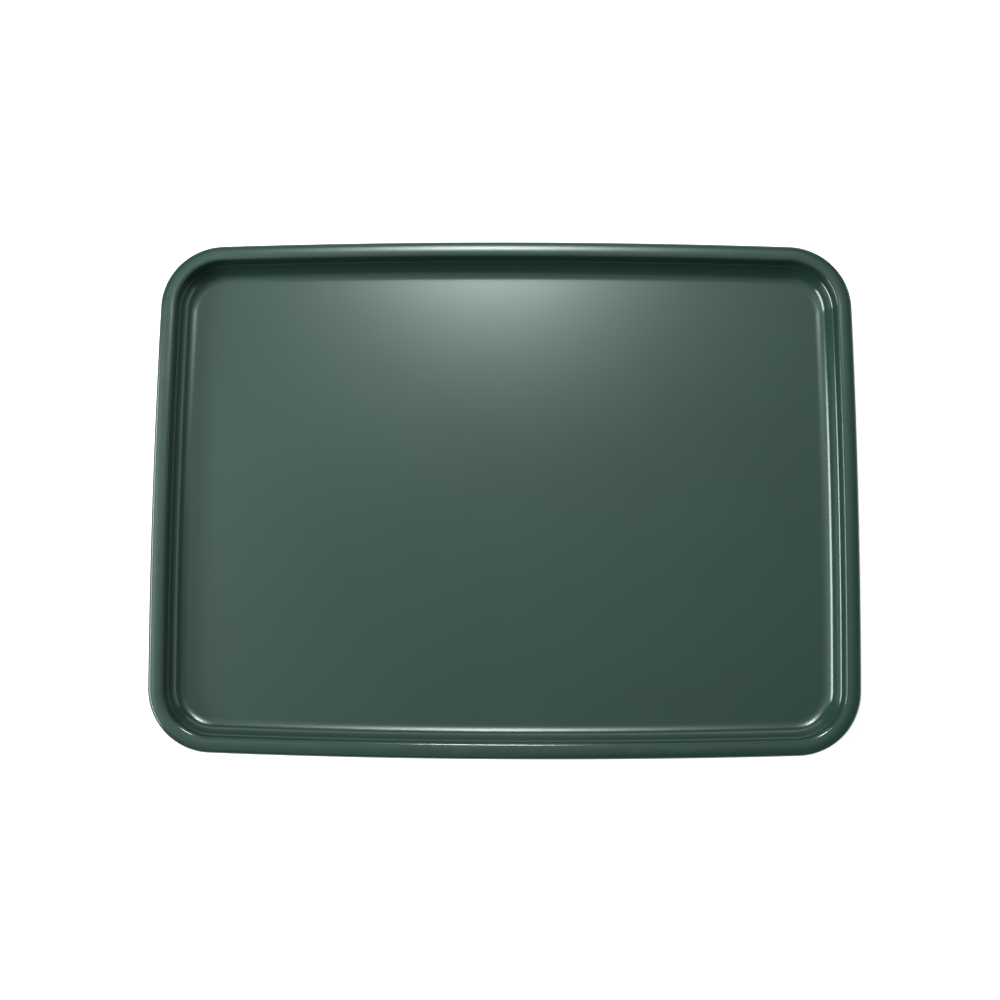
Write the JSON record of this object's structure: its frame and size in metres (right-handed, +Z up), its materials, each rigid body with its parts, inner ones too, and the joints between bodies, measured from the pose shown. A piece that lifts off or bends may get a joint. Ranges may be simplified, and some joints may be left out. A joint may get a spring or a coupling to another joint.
{
  "type": "serving tray",
  "caption": "Rectangular moulded serving tray with a crowned rim, a stacking ledge in the wall and a flat floor.",
  "frame": {"origin": "middle of the underside, on the surface the tray stands on", "axes": "+X along the long sides, +Y towards the far long side, +Z up out of the open side"},
  "size_m": [0.415, 0.306, 0.019],
  "materials": {
    "tray_plastic": "dark green moulded plastic, glossy on the rim and walls, satin on the floor",
    "rod_steel": "plain drawn steel, sealed inside the rim"
  },
  "bodies": {
    "root": {"tray_moulding": "tray_plastic", "rim_rod": "rod_steel"}
  },
  "joints": []
}
